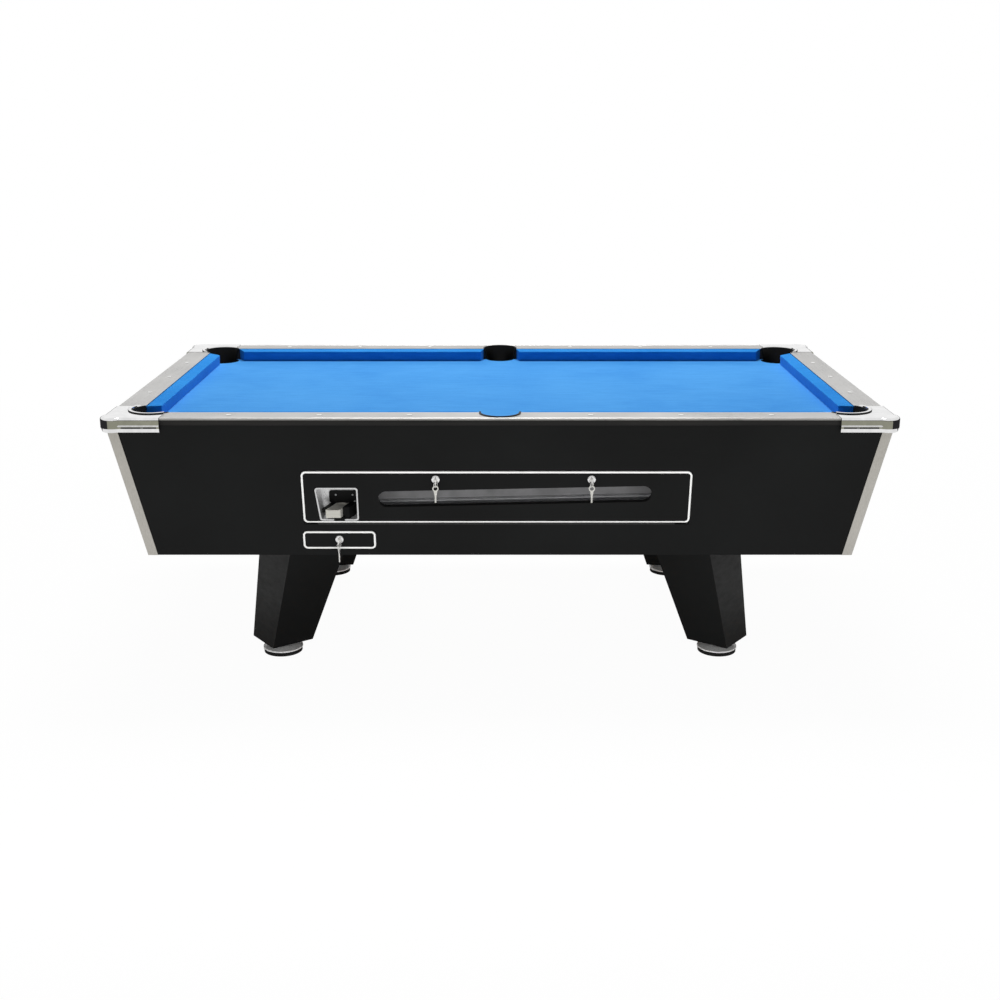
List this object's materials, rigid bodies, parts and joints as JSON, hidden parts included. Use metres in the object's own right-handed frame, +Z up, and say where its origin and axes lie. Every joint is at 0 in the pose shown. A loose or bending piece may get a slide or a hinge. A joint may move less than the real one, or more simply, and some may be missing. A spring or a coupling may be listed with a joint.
{
  "type": "coin-operated pool table",
  "caption": "Coin-operated pool table with leaning cabinet, blue cloth, corner castings, drop-down service door with gallery slot, coin slide and cash drawer.",
  "frame": {"origin": "floor level, under the middle of the table", "axes": "+X along the table, +Z up, the side with the coin slide faces -Y"},
  "size_m": [2.138, 1.203, 0.7575],
  "materials": {
    "black_laminate": "satin",
    "board": "matte",
    "slate": "matte",
    "bed_cloth": "woven",
    "cushion_cloth": "woven",
    "rail_steel": "brushed",
    "chrome": "polished",
    "key_metal": "polished",
    "trim_aluminium": "satin",
    "coin_steel": "brushed",
    "plain_steel": "satin",
    "hinge_black": "satin",
    "white_trim": "gloss",
    "black_plastic": "matte",
    "grey_plastic": "matte",
    "black_rubber": "matte"
  },
  "bodies": {
    "cabinet": {"ball_runs": "grey_plastic", "ball_trough": "grey_plastic", "base_board": "board", "bed_bearers": "board", "bed_cloth": "bed_cloth", "cap_screws": "plain_steel", "corner_caps": "chrome", "corner_pocket_liners": "black_plastic", "corner_trims": "trim_aluminium", "door_hinge_frame_leaf": "hinge_black", "drawer_runners": "plain_steel", "front_left_cushion": "cushion_cloth", "front_left_leg": "black_laminate", "front_panel": "black_laminate", "front_rail": "board", "front_right_cushion": "cushion_cloth", "front_right_leg": "black_laminate", "left_cushion": "cushion_cloth", "left_end_panel": "black_laminate", "left_rail": "board", "leg_bolts": "plain_steel", "middle_pocket_liners": "black_plastic", "rail_cappings": "rail_steel", "rail_sights": "white_trim", "rear_left_cushion": "cushion_cloth", "rear_left_leg": "black_laminate", "rear_panel": "black_laminate", "rear_rail": "board", "rear_right_cushion": "cushion_cloth", "rear_right_leg": "black_laminate", "right_cushion": "cushion_cloth", "right_end_panel": "black_laminate", "right_rail": "board", "slate_bed": "slate"},
    "door": {"door_panel": "black_laminate", "door_trim": "white_trim", "door_hinge_leaf": "hinge_black", "door_lock_barrels": "chrome", "coin_tray": "coin_steel", "coin_mech_body": "black_plastic"},
    "coin_slide": {"coin_slide": "coin_steel"},
    "ball_gate": {"ball_gate": "plain_steel"},
    "left_lock_plug": {"left_lock_plug": "key_metal"},
    "right_lock_plug": {"right_lock_plug": "key_metal"},
    "drawer_lock_plug": {"drawer_lock_plug": "key_metal"},
    "left_keys": {"left_keys": "key_metal"},
    "right_keys": {"right_keys": "key_metal"},
    "drawer_keys": {"drawer_keys": "key_metal"},
    "drawer": {"drawer_front": "black_laminate", "drawer_trim": "white_trim", "drawer_lock_barrel": "chrome", "cash_box": "plain_steel"},
    "front_left_foot": {"front_left_leveller": "chrome", "front_left_foot_pad": "black_rubber"},
    "front_right_foot": {"front_right_leveller": "chrome", "front_right_foot_pad": "black_rubber"},
    "rear_left_foot": {"rear_left_leveller": "chrome", "rear_left_foot_pad": "black_rubber"},
    "rear_right_foot": {"rear_right_leveller": "chrome", "rear_right_foot_pad": "black_rubber"}
  },
  "joints": [
    {"name": "door_hinge", "type": "hinge", "parent": "cabinet", "child": "door", "pos_m": [0, -0.53132, 0.44332], "axis": [1, 0, 0], "range_deg": [0, 80]},
    {"name": "coin_slide_push", "type": "slide", "parent": "door", "child": "coin_slide", "axis": [0.4695, 0.8687, 0.1579], "range_m": [0, 0.045]},
    {"name": "ball_gate_turn", "type": "hinge", "parent": "cabinet", "child": "ball_gate", "pos_m": [0.429, -0.4819, 0.54647], "axis": [0, 1, 0], "range_deg": [0, 45]},
    {"name": "drawer_slide", "type": "slide", "parent": "cabinet", "child": "drawer", "axis": [0, -1, 0], "range_m": [0, 0.18]},
    {"name": "left_lock_turn", "type": "hinge", "parent": "door", "child": "left_lock_plug", "pos_m": [-0.175, -0.55497, 0.57623], "axis": [0, -0.9839, -0.1788], "range_deg": [0, 90]},
    {"name": "left_keys_swing", "type": "hinge", "parent": "left_lock_plug", "child": "left_keys", "pos_m": [-0.175, -0.57081, 0.57335], "axis": [1, 0, 0], "range_deg": [-60, 12]},
    {"name": "right_lock_turn", "type": "hinge", "parent": "door", "child": "right_lock_plug", "pos_m": [0.249, -0.55497, 0.57623], "axis": [0, -0.9839, -0.1788], "range_deg": [0, 90]},
    {"name": "right_keys_swing", "type": "hinge", "parent": "right_lock_plug", "child": "right_keys", "pos_m": [0.249, -0.57081, 0.57335], "axis": [1, 0, 0], "range_deg": [-60, 12]},
    {"name": "drawer_lock_turn", "type": "hinge", "parent": "drawer", "child": "drawer_lock_plug", "pos_m": [-0.4455, -0.52207, 0.39519], "axis": [0, -0.9839, -0.1788], "range_deg": [0, 90]},
    {"name": "drawer_keys_swing", "type": "hinge", "parent": "drawer_lock_plug", "child": "drawer_keys", "pos_m": [-0.4455, -0.53791, 0.39232], "axis": [1, 0, 0], "range_deg": [-60, 12]},
    {"name": "front_left_foot_screw", "type": "slide", "parent": "cabinet", "child": "front_left_foot", "axis": [0, 0, -1], "range_m": [0, 0.02]},
    {"name": "front_right_foot_screw", "type": "slide", "parent": "cabinet", "child": "front_right_foot", "axis": [0, 0, -1], "range_m": [0, 0.02]},
    {"name": "rear_left_foot_screw", "type": "slide", "parent": "cabinet", "child": "rear_left_foot", "axis": [0, 0, -1], "range_m": [0, 0.02]},
    {"name": "rear_right_foot_screw", "type": "slide", "parent": "cabinet", "child": "rear_right_foot", "axis": [0, 0, -1], "range_m": [0, 0.02]}
  ],
  "couplings": [
    {"joint": "ball_gate_turn", "follows": "coin_slide_push", "rad_per_m": 17.4}
  ]
}
